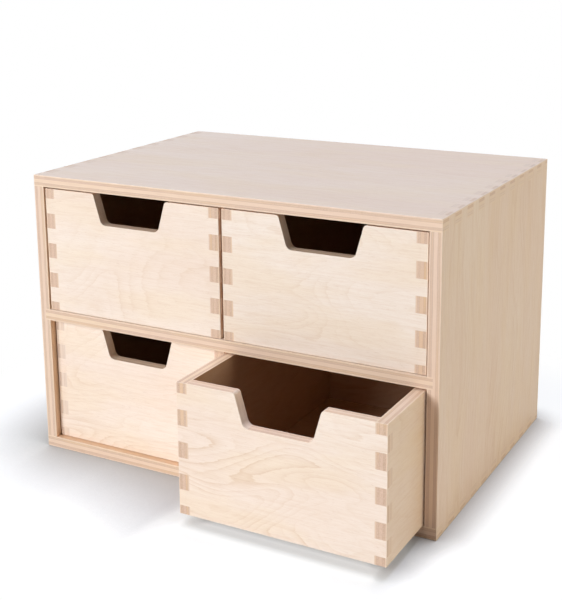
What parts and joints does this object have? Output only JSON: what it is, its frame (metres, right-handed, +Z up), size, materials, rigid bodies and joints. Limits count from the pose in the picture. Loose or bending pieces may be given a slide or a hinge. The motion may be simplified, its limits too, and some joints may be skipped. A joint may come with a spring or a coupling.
{
  "type": "desktop drawer cabinet",
  "caption": "Small plywood desk cabinet with two rows of sliding drawers, finger-jointed corners and notched drawer fronts, one drawer pulled out.",
  "frame": {"origin": "middle of the cabinet's underside, on the surface it stands on", "axes": "+Z up, -Y out of the drawer fronts, +X to the right as seen from the front"},
  "size_m": [0.32, 0.284, 0.214],
  "materials": {
    "cabinet_plywood": "bare sanded birch plywood, layered edges",
    "drawer_plywood": "bare sanded birch plywood, layered edges",
    "thin_plywood": "bare thin birch plywood"
  },
  "bodies": {
    "cabinet": {"bottom_panel": "cabinet_plywood", "top_panel": "cabinet_plywood", "left_side_panel": "cabinet_plywood", "right_side_panel": "cabinet_plywood", "middle_shelf": "cabinet_plywood", "back_panel": "thin_plywood", "lower_divider": "thin_plywood", "upper_divider": "thin_plywood"},
    "upper_left_drawer": {"upper_left_drawer_front": "drawer_plywood", "upper_left_drawer_back": "drawer_plywood", "upper_left_drawer_left_side": "drawer_plywood", "upper_left_drawer_right_side": "drawer_plywood", "upper_left_drawer_base": "thin_plywood"},
    "upper_right_drawer": {"upper_right_drawer_front": "drawer_plywood", "upper_right_drawer_back": "drawer_plywood", "upper_right_drawer_left_side": "drawer_plywood", "upper_right_drawer_right_side": "drawer_plywood", "upper_right_drawer_base": "thin_plywood"},
    "lower_left_drawer": {"lower_left_drawer_front": "drawer_plywood", "lower_left_drawer_back": "drawer_plywood", "lower_left_drawer_left_side": "drawer_plywood", "lower_left_drawer_right_side": "drawer_plywood", "lower_left_drawer_base": "thin_plywood"},
    "lower_right_drawer": {"lower_right_drawer_front": "drawer_plywood", "lower_right_drawer_back": "drawer_plywood", "lower_right_drawer_left_side": "drawer_plywood", "lower_right_drawer_right_side": "drawer_plywood", "lower_right_drawer_base": "thin_plywood"}
  },
  "joints": [
    {"name": "upper_left_slide", "type": "slide", "parent": "cabinet", "child": "upper_left_drawer", "axis": [0, -1, 0], "range_m": [-0.004, 0.171]},
    {"name": "upper_right_slide", "type": "slide", "parent": "cabinet", "child": "upper_right_drawer", "axis": [0, -1, 0], "range_m": [-0.004, 0.171]},
    {"name": "lower_left_slide", "type": "slide", "parent": "cabinet", "child": "lower_left_drawer", "axis": [0, -1, 0], "range_m": [0, 0.175]},
    {"name": "lower_right_slide", "type": "slide", "parent": "cabinet", "child": "lower_right_drawer", "axis": [0, -1, 0], "range_m": [-0.064, 0.111]}
  ]
}
